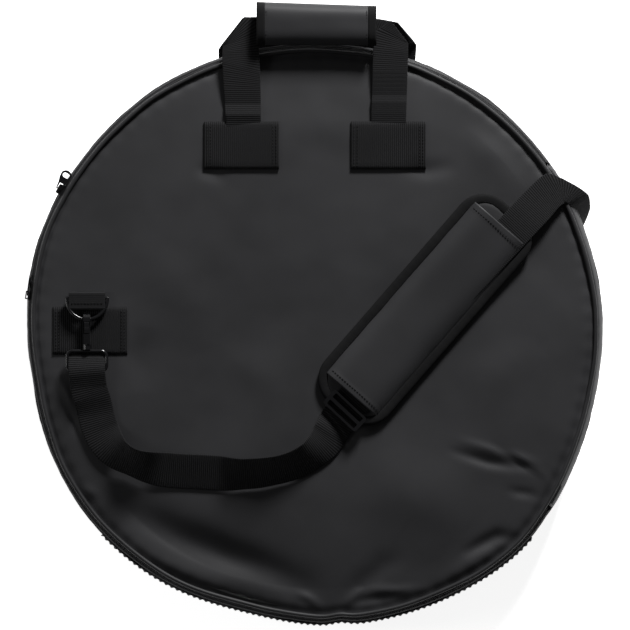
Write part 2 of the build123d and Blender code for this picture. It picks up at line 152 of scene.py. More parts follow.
def bump_at(x, y, z):
    return noise.noise(Vector((x, y, z)))


def squared_off(value, power):
    """A sine or cosine with its sign kept and its curve flattened, for boxy rounds."""
    return copysign(abs(value) ** power, value)


def make_piece(name, verts, faces, material, uvs=None, smooth=True):
    """A mesh object with one material; uvs gives one (u, v) per vertex, in metres."""
    mesh = bpy.data.meshes.new(name)
    mesh.from_pydata([tuple(v) for v in verts], [], [tuple(f) for f in faces])
    mesh.update()
    if uvs is not None:
        layer = mesh.uv_layers.new(name="cloth")
        index = np.empty(len(mesh.loops), np.int32)
        mesh.loops.foreach_get("vertex_index", index)
        layer.data.foreach_set("uv", np.asarray(uvs, np.float32)[index].ravel())
    if smooth:
        mesh.polygons.foreach_set("use_smooth", [True] * len(mesh.polygons))
    mesh.materials.append(material)
    obj = add_object(name, mesh)
    work = bmesh.new()
    work.from_mesh(mesh)
    bmesh.ops.recalc_face_normals(work, faces=work.faces)
    work.to_mesh(mesh)
    work.free()
    return obj


def fasten(piece, body, *nodes):
    """Parent a finished piece to its body, and hide the CAD pieces that it stands for."""
    if nodes:
        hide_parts(*nodes)
    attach(piece, body)
    return piece


def fasten_across_hinge(piece, *nodes):
    """For a piece that spans the lid's hinge: hide the CAD pieces that it stands for and bake its
    place into its mesh, on no body.
    """
    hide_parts(*nodes)
    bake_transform(piece)
    return piece


def grid_faces(rows, cols, wrap_rows=False, wrap_cols=False, offset=0):
    """Quads of a grid of rows x cols vertices, joined end to end where asked."""
    faces = []
    for i in range(rows if wrap_rows else rows - 1):
        for j in range(cols if wrap_cols else cols - 1):
            a, b = i * cols + j, i * cols + (j + 1) % cols
            c, d = ((i + 1) % rows) * cols + (j + 1) % cols, ((i + 1) % rows) * cols + j
            faces.append((offset + a, offset + b, offset + c, offset + d))
    return faces


def bar_faces(rows, cols, offset=0):
    """Faces of a bar with cols vertices round each row, capped at both ends."""
    first, end = offset, offset + rows * cols
    caps = [tuple(range(first, first + cols)), tuple(range(end - 1, end - cols - 1, -1))]
    return grid_faces(rows, cols, wrap_cols=True, offset=offset) + caps


def slab_faces(rows, cols):
    """Faces of two like grids, one over the other, closed round their edge."""
    n = rows * cols
    ring = [i * cols for i in range(rows)] + [n - cols + j for j in range(1, cols)]
    ring += [i * cols + cols - 1 for i in range(rows - 2, -1, -1)] + list(range(cols - 2, 0, -1))
    walls = [(a, b, b + n, a + n) for a, b in zip(ring, ring[1:] + ring[:1])]
    return grid_faces(rows, cols) + grid_faces(rows, cols, offset=n) + walls


def ribbon(name, centres, sides, width, thick=WEB_T):
    """Flat webbing as a closed strip along centres, ribbed across its length."""
    centres, sides = np.asarray(centres, float), np.asarray(sides, float)
    tangent = unit(np.gradient(centres, axis=0))
    sides = unit(sides - (sides * tangent).sum(1)[:, None] * tangent)
    return strip(name, centres, sides * width, thick)


def strip(name, centres, spans, thick=WEB_T):
    """As ribbon, with the whole width at each row given as a span from edge to edge."""
    along = distances(centres)
    normal = unit(np.cross(np.gradient(centres, axis=0), spans))
    across = np.array([-0.5, -0.485, -0.46, -0.3, -0.1, 0.1, 0.3, 0.46, 0.485, 0.5])
    height = np.array([0.35, 0.8, 1, 1, 1, 1, 1, 1, 0.8, 0.35]) * thick / 2
    wave = 0.5 + 0.5 * np.cos(tau * along / RIB_PITCH)
    lift = 1 - 0.34 * (1 - wave)
    profile = list(zip(across, height)) + list(zip(across[::-1], -height[::-1]))
    verts, uvs = [], []
    for i in range(len(centres)):
        for a, h in profile:
            verts.append(centres[i] + spans[i] * a + normal[i] * h * lift[i])
            uvs.append((a * STRAP_W, along[i]))
    return make_piece(name, verts, bar_faces(len(centres), len(profile)), WEBBING, uvs)


def closed_tube(name, points, radius, material, sides=10):
    """Round tube along a closed line of points that lies nearly level."""
    tangent = unit(np.roll(points, -1, 0) - np.roll(points, 1, 0))
    out = unit(np.cross(tangent, (0, 0, 1.0)))
    top = np.cross(out, tangent)
    verts = []
    for i in range(len(points)):
        for k in range(sides):
            a = tau * k / sides
            verts.append(points[i] + radius * (cos(a) * out[i] + sin(a) * top[i]))
    faces = grid_faces(len(points), sides, wrap_rows=True, wrap_cols=True)
    return make_piece(name, verts, faces, material)


def stitches(name, rows, body):
    """Rows of raised thread: each row is a list of (point, normal)."""
    pitch, length, radius = 3.4 * MM, 2.3 * MM, 0.38 * MM
    verts, faces = [], []
    for row in rows:
        points, normals = (np.array([pair[k] for pair in row], float) for k in (0, 1))
        along = distances(points)
        for k in range(int(along[-1] / pitch)):
            ends = [(k + 0.5) * pitch - length / 2, (k + 0.5) * pitch + length / 2]
            a, b = [sample(end, along, points) for end in ends]
            n = sample(sum(ends) / 2, along, normals)
            n /= np.linalg.norm(n)
            s = np.cross(n, (b - a) / np.linalg.norm(b - a))
            base = len(verts)
            for f, scale in ((0, 0.35), (0.2, 1), (0.8, 1), (1, 0.35)):
                centre = a + (b - a) * f + n * radius * (0.1 if scale < 1 else 0.55)
                for q in range(6):
                    angle = pi * q / 3
                    verts.append(centre + scale * radius * (cos(angle) * s + sin(angle) * n))
            faces += bar_faces(4, 6, base)
    fasten(make_piece(name, verts, faces, THREAD), body)


# ---- materials ----
def set_inputs(made, **values):
    """Values of a node's inputs, by name with underscores for spaces."""
    for key, value in values.items():
        made.inputs[key.replace("_", " ")].default_value = value


def material(name, colour, roughness, sheen=0.0, specular=0.3):
    mat = bpy.data.materials.new(name)
    mat.use_nodes = True
    shader = mat.node_tree.nodes["Principled BSDF"]
    set_inputs(shader, Base_Color=(*colour, 1), Roughness=roughness, Sheen_Weight=sheen,
               Sheen_Roughness=0.45, Specular_IOR_Level=specular)
    return mat, shader


def node(mat, kind, **values):
    made = mat.node_tree.nodes.new("ShaderNode" + kind)
    for key, value in values.items():
        if hasattr(made, key):
            setattr(made, key, value)
        else:
            set_inputs(made, **{key: value})
    return made


def wire(mat, a, b):
    mat.node_tree.links.new(a, b)


def texture(mat, kind, place, **values):
    """Value of a texture node that is read at a place."""
    made = node(mat, kind, **values)
    wire(mat, place, made.inputs["Vector"])
    return made.outputs["Fac"]


def maths(mat, operation, *terms):
    """A maths node whose terms are sockets or plain numbers."""
    made = node(mat, "Math", operation=operation)
    for socket, term in zip(made.inputs, terms):
        if isinstance(term, float):
            socket.default_value = term
        else:
            wire(mat, term, socket)
    return made.outputs[0]


def raise_surface(mat, shader, height, strength, distance):
    bump = node(mat, "Bump", Strength=strength, Distance=distance)
    wire(mat, height, bump.inputs["Height"])
    wire(mat, bump.outputs["Normal"], shader.inputs["Normal"])


def shade_by(mat, shader, colour, source, darkest, lightest, start=0.35, end=0.65):
    """Base colour between two multiples of one colour, by the source's value."""
    ramp = node(mat, "ValToRGB")
    for element, place, share in zip(ramp.color_ramp.elements, (start, end), (darkest, lightest)):
        element.position = place
        element.color = (*(c * share for c in colour), 1)
    wire(mat, source, ramp.inputs["Fac"])
    wire(mat, ramp.outputs["Color"], shader.inputs["Base Color"])


def wave_scale(pitch):
    """Scale of a wave texture whose bands repeat at a pitch in metres."""
    return tau / (20 * pitch)


def coated_fabric(name, colour, strength, weave=0.45 * MM, roughness=0.55):
    """Tightly woven coated cloth: fine weave bump, with faint clouding in colour and gloss."""
    mat, shader = material(name, colour, roughness, sheen=0.02, specular=0.22)
    place = node(mat, "TexCoord").outputs["Object"]
    cloud = texture(mat, "TexNoise", place, Scale=9.0, Detail=4.0)
    shade_by(mat, shader, colour, cloud, 0.86, 1.14)
    gloss = node(mat, "MapRange", To_Min=roughness - 0.06, To_Max=roughness + 0.08)
    wire(mat, cloud, gloss.inputs["Value"])
    wire(mat, gloss.outputs["Result"], shader.inputs["Roughness"])
    waves = [texture(mat, "TexWave", place, bands_direction=direction,
                     Scale=wave_scale(weave), Distortion=0.6, Detail_Scale=2.0)
             for direction in ("X", "Y")]
    grain = texture(mat, "TexNoise", place, Scale=900.0, Detail=3.0)
    height = maths(mat, "ADD", maths(mat, "MULTIPLY", *waves), grain)
    raise_surface(mat, shader, height, strength, 0.12 * MM)
    return mat


def webbing_cloth(name, colour, roughness):
    """Ribbed webbing: yarns along the tape over its woven ribs, with painted shade in the rib
    grooves and painted highlight on the rib crests.
    """
    mat, shader = material(name, colour, roughness, sheen=0.015, specular=0.14)
    place = node(mat, "UVMap", uv_map="cloth").outputs["UV"]
    yarn = texture(mat, "TexWave", place, bands_direction="X",
                   Scale=wave_scale(0.9 * MM), Distortion=1.5)
    rib = texture(mat, "TexWave", place, bands_direction="Y",
                  Scale=wave_scale(RIB_PITCH), Distortion=0.3)
    fuzz = texture(mat, "TexNoise", place, Scale=700.0, Detail=4.0)
    fuzz_and_rib_shade = maths(mat, "MULTIPLY_ADD", fuzz, 0.38, maths(mat, "MULTIPLY", rib, 0.62))
    # Base colour: random fuzz tone mixed with painted shade in the rib grooves (0.08x) and painted
    # highlight on the rib crests (2.6x).
    shade_by(mat, shader, colour, fuzz_and_rib_shade, 0.08, 2.6, 0.34, 0.68)
    raise_surface(mat, shader, maths(mat, "ADD", yarn, fuzz), 0.5, 0.15 * MM)
    return mat


def grained(name, colour, roughness, scale, strength, sheen=0.0, specular=0.3):
    """Moulded or brushed surface with a noise grain and slight clouding."""
    mat, shader = material(name, colour, roughness, sheen, specular)
    place = node(mat, "TexCoord").outputs["Object"]
    grain = texture(mat, "TexNoise", place, Scale=scale, Detail=5.0)
    cloud = texture(mat, "TexNoise", place, Scale=25.0, Detail=3.0)
    shade_by(mat, shader, colour, cloud, 0.8, 1.2)
    raise_surface(mat, shader, grain, strength, 0.15 * MM)
    return mat


SHELL = coated_fabric("coated shell cloth", (0.019, 0.019, 0.0204), 0.25)
VINYL = coated_fabric("smooth vinyl", (0.0185, 0.0185, 0.0199), 0.1)
WEBBING = webbing_cloth("ribbed webbing", (0.0048, 0.0048, 0.0052), 0.85)
BINDING = grained("woven binding", (0.0042, 0.0042, 0.0045), 0.85, 800.0, 0.6, specular=0.12)
PIPING = grained("vinyl piping", (0.014, 0.014, 0.015), 0.55, 500.0, 0.2, specular=0.22)
LINING = grained("brushed lining", (0.02, 0.02, 0.023), 0.95, 600.0, 0.7, sheen=0.3)
FOAM = grained("closed cell foam", (0.06, 0.06, 0.062), 0.9, 900.0, 0.8)
RUBBER = grained("ribbed rubber", (0.012, 0.012, 0.0125), 0.6, 700.0, 0.25)
TAPE = grained("zip tape", (0.012, 0.012, 0.013), 0.85, 1200.0, 0.6)
COIL = grained("nylon coil", (0.016, 0.016, 0.017), 0.4, 900.0, 0.1)
METAL = grained("black cast metal", (0.004, 0.004, 0.0045), 0.22, 350.0, 0.05, specular=0.35)
HOOK_LOOP = grained("hook and loop tape", (0.01, 0.01, 0.01), 0.95, 1500.0, 1.0, sheen=0.2)
THREAD = grained("sewing thread", (0.005, 0.005, 0.0053), 0.7, 2500.0, 0.5, specular=0.15)

HARDWARE = [f"{side}_{part}" for side in ("front", "rear")
            for part in ("d_ring", "hook_body", "hook_gate", "swivel_eye")]
HARDWARE += ["slider_a", "slider_b", "pull_a", "pull_b", "tri_glide"]


# ---- camera ----
def make_camera():
    """Long lens straight above the bag, framed like a catalogue picture."""
    height, framed, centre = 8.0, 0.657, (-0.0005, 0.0214)
    data = bpy.data.cameras.new("camera")
    data.sensor_width = 36
    data.lens = data.sensor_width * (height - FRONT_RIM_Z) / framed
    data.clip_end = 20
    camera = add_object("camera", data)
    camera.location = (*centre, height)
    bpy.context.scene.camera = camera


# ---- shoulder strap ----
STRAP_START = Vector((30.6, -78.1, 0)) * MM
STRAP_TURN = radians(46.9)
ALONG = Vector((cos(STRAP_TURN), sin(STRAP_TURN), 0))
ACROSS = Vector((sin(STRAP_TURN), -cos(STRAP_TURN), 0))
EYE_ROUTE = [(-238.5, -20, 74.4), (-238.5, -28, 78.4), (-238, -37, 80.9), (-237, -47, 78),
             (-235.5, -57, 75.4)]
LOWER_ROUTE = [(-231, -70), (-226, -94), (-215, -116), (-197, -130), (-171, -138),
               (-145, -141), (-117, -142), (-76, -145), (-36, -140), (-10, -130), (8, -114),
               (19, -96)]
LOWER_Z = 75.0
RUN_Z = 81.05
RISE_ROUTE = [(-6, 80), (8, RUN_Z), (22, RUN_Z)]
RUN_ROUTE = [(20, RUN_Z), (90, RUN_Z), (160, RUN_Z), (230, RUN_Z), (270, 80.6), (290, 77)]
# Beyond the rim the webbing is set by both its edges, as (upper edge, lower edge).
TURN_EDGES = [((240, 171, 70.5), (258.5, 139.5, 69.5)), ((258, 163.5, 66), (259, 139, 68.5)),
              ((275, 154.5, 61), (261, 139, 67)), ((286, 146.5, 54), (263.5, 137, 65)),
              ((288, 133, 29), (267, 130, 53)), ((282, 116, 9), (272, 116, 40)),
              ((262, 102, 3.9), (281, 104, 24)), ((238, 93, 4), (274, 93, 9)),
              ((231, 84, 4.6), (269, 82, 5))]


def run_point(reach, z):
    place = STRAP_START + ALONG * reach * MM
    return (place.x, place.y, z * MM)


def spline_points(route, step=0.5 * MM):
    """Even points along the NURBS curve that has the route as its control points."""
    curve = bpy.data.curves.new("route", "CURVE")
    curve.dimensions = "3D"
    curve.resolution_u = 24
    spline = curve.splines.new("NURBS")
    spline.points.add(len(route) - 1)
    for point, place in zip(spline.points, route):
        point.co = (*place, 1)
    spline.order_u = 3
    spline.use_endpoint_u = True
    holder = add_object("route", curve)
    mesh = bpy.data.meshes.new_from_object(holder)
    places = np.array([v.co for v in mesh.vertices], float)
    bpy.data.objects.remove(holder)
    bpy.data.curves.remove(curve)
    bpy.data.meshes.remove(mesh)
    along = distances(places)
    return sample(np.arange(0, along[-1], step), along, places), along[-1]


def smooth_keys(keys, count):
    """Values at count even places, eased between (share, value) keys."""
    share = np.linspace(0, 1, count)
    place, value = np.array(keys, float).T
    index = np.clip(np.searchsorted(place, share) - 1, 0, len(keys) - 2)
    t = np.clip((share - place[index]) / (place[index + 1] - place[index]), 0, 1)
    t = t * t * (3 - 2 * t)
    return value[index] * (1 - t) + value[index + 1] * t


def front_strap():
    """From the front hook's eye, round in a twist on the panel, up to the slide and the pad."""
    route = [(x * MM, y * MM, z * MM) for x, y, z in EYE_ROUTE]
    route += [(x * MM, y * MM, LOWER_Z * MM) for x, y in LOWER_ROUTE]
    route += [run_point(*p) for p in RISE_ROUTE]
    points, length = spline_points(route)
    banks = [(0, 0), (0.2, -6), (0.32, -40), (0.42, -16), (0.54, -16), (0.62, -32), (0.71, -38),
             (0.79, -36), (0.87, -18), (0.94, 0), (1, 0)]
    tangent = np.gradient(points, axis=0)
    sides = unit(np.cross(tangent, (0, 0, 1.0)))
    normal = unit(np.cross(sides, tangent))
    turn = np.radians(smooth_keys(banks, len(points)))[:, None]
    banked = sides * np.cos(turn) + normal * np.sin(turn)
    radius = np.hypot(points[:, 0], points[:, 1])
    floor_z = FRONT_TOP - arc_drop(radius, CROWN_R, CROWN_DROP) + 1.2 * MM
    drop = smooth_keys([(0, 0), (0.1, 0), (0.17, 1), (0.88, 1), (0.96, 0), (1, 0)], len(points))
    lying = floor_z + np.abs(np.sin(turn[:, 0])) * STRAP_W / 2
    points[:, 2] = points[:, 2] * (1 - drop) + lying * drop
    strap = ribbon("front_strap", points, banked, STRAP_W)
    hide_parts("strap_lower")
    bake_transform(strap)


def over_strap():
    """From under the pad's face, over the rim and back under the bag to the rear hook."""
    upper, lower = (np.array([pair[k] for pair in TURN_EDGES], float) * MM for k in (0, 1))
    run = np.array([run_point(*p) for p in RUN_ROUTE])
    keys = np.concatenate([run, (upper + lower) / 2])
    spans = np.concatenate([np.tile(np.array(ACROSS) * STRAP_W, (len(run), 1)), lower - upper])
    points, length = spline_points([tuple(k) for k in keys])
    near = [np.argmin(np.linalg.norm(points - k, axis=1)) for k in keys]
    near = np.maximum.accumulate(near)
    strap = strip("over_strap", points, sample(np.arange(len(points)), near, spans))
    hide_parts("strap_run", "strap_side", "strap_under")
    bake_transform(strap)


make_camera()
front_strap()
over_strap()


# ---- panels ----
# Each fold is (points, height, half width): a soft ridge, or a valley where height is negative.
FOLDS = [
    ([(-232, -164), (-194, -185), (-145, -209), (-93, -230), (-41, -250), (-9, -268), (16, -290)],
     -5.2, 18),
    ([(-252, -150), (-222, -206), (-170, -236), (-110, -262), (-60, -276)], 2.4, 9),
    ([(24, -292), (46, -262), (70, -240), (96, -228)], -1.8, 11),
    ([(26, -290), (48, -278), (72, -274), (98, -271)], -2.6, 6),
    ([(52, -266), (84, -266), (116, -262)], 1.5, 5),
    ([(28, -290), (40, -274), (48, -262)], 1.8, 4),
    ([(8, -288), (-8, -276), (-22, -270)], 1.5, 5),
    ([(120, -262), (160, -236), (196, -214)], 2.2, 8),
    ([(150, -228), (186, -206), (216, -208)], -3.0, 6),
    ([(136, -118), (180, -132), (226, -139)], -1.6, 5),
    ([(146, -108), (192, -122), (240, -136)], 1.2, 4.5),
    ([(182, -114), (224, -138), (243, -152)], -1.7, 4.5),
    ([(200, -120), (238, -146), (250, -160)], 1.3, 4),
    ([(196, -160), (222, -164), (240, -172)], -1.3, 4),
    ([(-262, -150), (-240, -160), (-222, -168)], 1.6, 5),
    ([(-277, -36), (-262, -60), (-251, -88)], 1.2, 5),
    ([(-268, -60), (-255, -84), (-246, -110)], -1.1, 5),
    ([(-70, 196), (0, 222), (66, 200)], 1.2, 22),
    ([(88, 176), (118, 172), (150, 178)], -1.3, 9),
    ([(-128, 176), (-104, 168), (-92, 158)], -1.0, 8),
    ([(150, 214), (190, 184), (218, 140)], 1.5, 18),
    ([(-204, 124), (-150, 60), (-124, -20)], 1.4, 28),
    ([(-176, 10), (-184, -20), (-182, -60)], -1.4, 15),
    ([(40, -150), (110, -170), (150, -210)], 2.4, 40),
    ([(150, -60), (200, -40), (236, -10)], 1.2, 22),
    ([(-80, -30), (-30, 20), (0, 80)], -1.4, 34),
]


def fold_height(x, y):
    """Height in metres that the folds add at plan points x, y (arrays, metres)."""
    total = np.zeros_like(x)
    for points, height, half in FOLDS:
        path = np.array(points, float) * MM
        best = np.full_like(x, 1e9)
        taper = np.zeros_like(x)
        lengths = np.linalg.norm(np.diff(path, axis=0), axis=1)
        start, whole = 0.0, lengths.sum()
        for a, b, seg in zip(path[:-1], path[1:], lengths):
            t = np.clip(((x - a[0]) * (b[0] - a[0]) + (y - a[1]) * (b[1] - a[1])) / seg**2, 0, 1)
            d = np.hypot(x - a[0] - t * (b[0] - a[0]), y - a[1] - t * (b[1] - a[1]))
            nearer = d < best
            best = np.where(nearer, d, best)
            taper = np.where(nearer, (start + t * seg) / whole, taper)
            start += seg
        strength = np.sin(np.pi * np.clip(taper * 0.96 + 0.02, 0, 1)) ** 1.3
        total += FOLD_DEPTH * height * MM * strength * np.exp(-((best / (half * MM)) ** 2))
    return total


def soft_noise(x, y, scale, seed):
    return np.array([bump_at(a * scale, b * scale, seed) for a, b in zip(x, y)])


def front_arc(r):
    """Height of the front panel without its folds at radius r."""
    return FRONT_TOP - arc_drop(r, CROWN_R, CROWN_DROP)


def back_arc(r):
    return arc_drop(r, FLAT_R, BACK_RISE)


def round_sheet(name, near, far, rings, cloth, segments=480):
    """Round sewn sheet between two surfaces, each a function of x, y and radius."""
    angle = np.linspace(0, tau, segments, endpoint=False)
    under_rings = np.concatenate([rings[::-1][:-1:3], rings[:1]])
    verts = []
    for surface, radii in ((near, rings), (far, under_rings)):
        radius, turn = np.meshgrid(radii, angle, indexing="ij")
        x, y = (radius * np.cos(turn)).ravel(), (radius * np.sin(turn)).ravel()
        verts.append(np.stack([x, y, surface(x, y, radius.ravel())], 1))
    faces = bar_faces(len(rings) + len(under_rings), segments)
    return make_piece(name, np.concatenate(verts), faces, cloth)


def front_panel():
    rings = np.concatenate([[4 * MM], np.linspace(10 * MM, 0.262, 84),
                            np.linspace(0.2645, RIM_R + 2.6 * MM, 19)])

    def near_rim(r, width):
        return np.exp(-((RIM_R - r) / width) ** 2)

    def top(x, y, r):
        edge = np.clip((RIM_R - r) / (26 * MM), 0, 1)
        pucker = 0.3 * MM * np.sin(np.arctan2(y, x) * 96) * near_rim(r, 9 * MM)
        cloud = soft_noise(x, y, 11.0, 3.7) * 1.5 * MM + soft_noise(x, y, 34.0, 9.1) * 0.35 * MM
        roll = -1.9 * MM * near_rim(r, 5 * MM)
        return front_arc(r) + (fold_height(x, y) + cloud) * (0.25 + 0.75 * edge) + roll + pucker

    def under(x, y, r):
        plain = front_arc(r) - 1.45 * MM - 2.1 * MM * near_rim(r, 5 * MM)
        return np.minimum(plain, top(x, y, r) - 1.2 * MM)

    panel = push_rim(round_sheet("front_cover", top, under, rings, SHELL))
    fasten_across_hinge(panel, "front_panel", "spine_panel")
    return top


def back_panel():
    rings = np.concatenate([[4 * MM], np.linspace(12 * MM, RIM_R + 2.2 * MM, 60)])

    def outer(x, y, r):
        ripple = soft_noise(x, y, 14.0, 21.0) * 0.9 * MM * np.clip((r - 0.07) / 0.05, 0, 1)
        return back_arc(r) + np.maximum(ripple, -0.3 * MM)

    def inner(x, y, r):
        return back_arc(r) + 1.45 * MM

    panel = push_rim(round_sheet("back_cover", outer, inner, rings, SHELL))
    fasten(panel, "base", "back_panel")


def piping(name, z, wobble, seed):
    """Piping cord round the rim, wandering a little as a sewn cord does."""
    angle = np.linspace(0, tau, 720, endpoint=False)
    radius, height = (
        np.array([bump_at(cos(a) * turns, sin(a) * turns, seed + further)
                  for a in angle]) * wobble * share + level
        for turns, further, share, level in ((6, 0, 1, PIPE_R), (5, 9, 0.7, z)))
    points = np.stack([radius * np.cos(angle), radius * np.sin(angle), height], 1)
    return push_rim(closed_tube(name, points, 2.3 * MM, PIPING))


def pipings():
    fasten_across_hinge(piping("front_piping_cord", FRONT_RIM_Z, 0.9 * MM, 1.0), "front_piping",
                        "spine_piping")
    fasten(piping("back_piping_cord", BACK_RIM_Z, 0.7 * MM, 4.0), "base", "back_piping")


def band(name, low, high, start, end, cloth, slot_name, thick=1.4 * MM, rows=14, step=2.2 * MM,
         relief=None, swell=0.0, shift=0.0):
    """A stretch of the bowed gusset between two heights and two angles."""
    closed = end - start >= tau
    cols = int((end - start) * GUSSET_R / step)
    angle = np.linspace(start, end, cols, endpoint=not closed)
    heights = np.linspace(low, high, rows)
    verts = []
    for inside, order in ((False, heights), (True, heights[::-1])):
        for z in order:
            base = gusset_r(z) - inside * thick + shift
            for a in angle:
                crease = bump_at(cos(a) * 9, sin(a) * 9, z * 30)
                fine = bump_at(cos(a) * 40, sin(a) * 40, z * 25 + 5)
                r = base + (swell * crease + 0.3 * swell * fine) * (0.6 if inside else 1)
                if relief and not inside:
                    r += relief(a, z)
                verts.append((r * cos(a), r * sin(a), z))
    faces = grid_faces(2 * rows, cols, wrap_rows=True, wrap_cols=closed)
    if not closed:
        starts = range(0, 2 * rows * cols, cols)
        faces += [tuple(starts), tuple(i + cols - 1 for i in starts[::-1])]
    return push_rim(make_piece(name, verts, faces, cloth))


def gusset():
    low, split = heights_of("gusset_panel")
    high = heights_of("spine_gusset")[1] + 0.6 * MM
    side = band("gusset_cloth", low - 1.5 * MM, split, 0, tau, SHELL, "shell", swell=1 * MM)
    fasten(side, "base", "gusset_panel")
    spine = band("spine_cloth", split + 0.1 * MM, high, -ZIP_END, ZIP_END, SHELL, "shell", rows=6,
                 swell=0.5 * MM)
    fasten(spine, "base", "spine_gusset")


def scuff_guard():
    low, high = heights_of("bottom_guard")
    start, end = radians(223), radians(317)
    pitch = 6.5 * MM / GUSSET_R

    def ribs(angle, z):
        rib = (0.5 + 0.5 * cos(tau * (angle - start) / pitch)) ** 1.2
        edge = min((z - low), (high - z)) / (3 * MM)
        return 1.2 * MM + 1.5 * MM * rib * min(1.0, max(0.0, edge))

    guard = band("bottom_ribbed_guard", low, high, start, end, RUBBER, "guard", thick=0.2 * MM,
                 rows=10, step=0.8 * MM, relief=ribs)
    fasten(guard, "base", "bottom_guard")


def zip_coils():
    """Two rows of interlocking coil loops between their tapes."""
    margin = ZIP_END + radians(1.0)
    pitch, half = 2.0 * MM / PIPE_R, 0.62 * MM / PIPE_R
    for body, shift in (("base", 0.0), ("lid", 0.5)):
        node_name = f"zipper_teeth_{body}"
        low, high = heights_of(node_name)
        reach = gusset_r((low + high) / 2) + 0.5 * MM
        verts, faces = [], []
        for k in range(int((tau - 2 * margin) / pitch)):
            a = margin + (k + shift) * pitch
            faces += bar_faces(3, 4, len(verts))
            for r, dz in ((reach - 2.0 * MM, 0.0), (reach - 0.5 * MM, 0.0), (reach, 0.4 * MM)):
                for da, z in ((-half, low + dz), (half, low + dz), (half, high - dz),
                              (-half, high - dz)):
                    verts.append((r * cos(a + da), r * sin(a + da), z))
        teeth = make_piece(f"zip_coil_{body}", verts, faces, COIL, smooth=False)
        fasten(push_rim(teeth), body, node_name)


def webbing_patch(name, node_name, surface, centre, size, body, level, flip=1):
    """Rectangle of webbing lying on a crowned panel, ribs along Y, with two stitch rows."""
    x0, y0 = centre[0] - size[0] / 2, centre[1] - size[1] / 2
    x1, y1 = x0 + size[0], y0 + size[1]
    cols, rows = int(size[0] / (0.42 * MM)), 14
    gx, gy = np.meshgrid(np.linspace(x0, x1, cols), np.linspace(y0, y1, rows), indexing="ij")
    wave = 0.5 + 0.5 * np.cos(tau * (gx - x0) / RIB_PITCH)
    edge = np.minimum(np.minimum(gx - x0, x1 - gx), np.minimum(gy - y0, y1 - gy))
    round_off = 1 - np.exp(-edge / (0.9 * MM))
    top = surface(gx, gy) + flip * (level + WEB_T * (0.45 + 0.5 * round_off) + 0.42 * MM * wave)
    under = surface(gx, gy) + flip * (level - 0.9 * MM)
    verts = np.concatenate([np.stack([gx, gy, z], -1).reshape(-1, 3) for z in (top, under)])
    uvs = np.concatenate([np.stack([gy, gx], -1).reshape(-1, 2)] * 2)
    piece = make_piece(name, verts, slab_faces(cols, rows), WEBBING, uvs)
    fasten(piece, body, node_name)
    seams = []
    for inset in (3.2 * MM, 6.4 * MM):
        for x in (x0 + inset, x1 - inset):
            ys = np.linspace(y0 + 2 * MM, y1 - 2 * MM, 24)
            zs = surface(np.full_like(ys, x), ys) + flip * (level + WEB_T * 1.18)
            seams.append([((x, y, z), (0, 0, flip)) for y, z in zip(ys, zs)])
    stitches(f"{name}_stitches", seams, body)


def patches(front_top):
    def front(x, y):
        flat_x, flat_y = np.ravel(x), np.ravel(y)
        return front_top(flat_x, flat_y, np.hypot(flat_x, flat_y)).reshape(np.shape(x))

    def back(x, y):
        return back_arc(np.hypot(x, y))

    size = (78 * MM, 50 * MM)
    y = middle_of("front_patches")[1]
    for side, x in (("left", -77 * MM), ("right", 76 * MM)):
        webbing_patch(f"front_patch_{side}", "front_patches", front, (x, y), size, "lid", 1.6 * MM)
        webbing_patch(f"rear_patch_{side}", "rear_patches", back, (x, y), size, "base", 1.6 * MM,
                      -1)
    webbing_patch("front_ring_patch_cloth", "front_ring_patch", front,
                  middle_of("front_ring_patch"), size, "lid", 0.1 * MM)
    low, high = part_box("rear_ring_patch")
    webbing_patch("rear_ring_patch_cloth", "rear_ring_patch", back, middle_of("rear_ring_patch"),
                  (high[0] - low[0], high[1] - low[1]), "base", 0.05 * MM, -1)


# ---- handles ----
# Edges of each leg as (x, y, height), left edge first; the front ones lie at the loop's height.
FRONT_LEGS = {
    "left": ([(-93.5, 212, 0), (-93.3, 222, 1.2), (-94, 230, 2.8), (-94.6, 241, -0.6),
              (-95.5, 255, 0.6), (-97.1, 285, 1.5), (-97, 295, 1), (-96.5, 302, 0),
              (-95.9, 302.8, 0), (-95, 303.8, 0)],
             [(-57, 212, 0), (-56.8, 222, 1.2), (-56.9, 230, 2.8), (-57, 241, -0.6),
              (-57.2, 255, 0.4), (-57.6, 275, 1.5), (-58.9, 298, 1), (-60, 315, 0),
              (-62.5, 331.5, 0), (-74.4, 332, 0)]),
    "right": ([(58, 212, 0), (57.9, 222, 1), (58, 232, 1.8), (58.4, 243, 2), (58.7, 250, 0),
               (59.3, 275, 1.2), (60, 300, 1), (62, 316.6, 0), (68, 321, 0), (77, 327.4, 0)],
              [(94.5, 212, 0), (94.4, 222, 1), (94.6, 232, 1.8), (94.9, 243, 2), (95.2, 250, 0),
               (96, 275, 1.2), (96.6, 296, 1), (96.5, 304.5, 0), (95.6, 306, 0),
               (79, 327.8, 0)]),
}
FRONT_RUNS = {
    "left": ([(-95.4, 303, 0), (-75, 302, 0), (-50, 302, 0)],
             [(-74.5, 331.5, 0), (-66, 332, 0), (-50, 332, 0)]),
    "right": ([(50, 330, 0), (66, 330, 0), (78.5, 327.5, 0)],
              [(50, 300, 0), (76, 300, 0), (95.6, 304.5, 0)]),
}
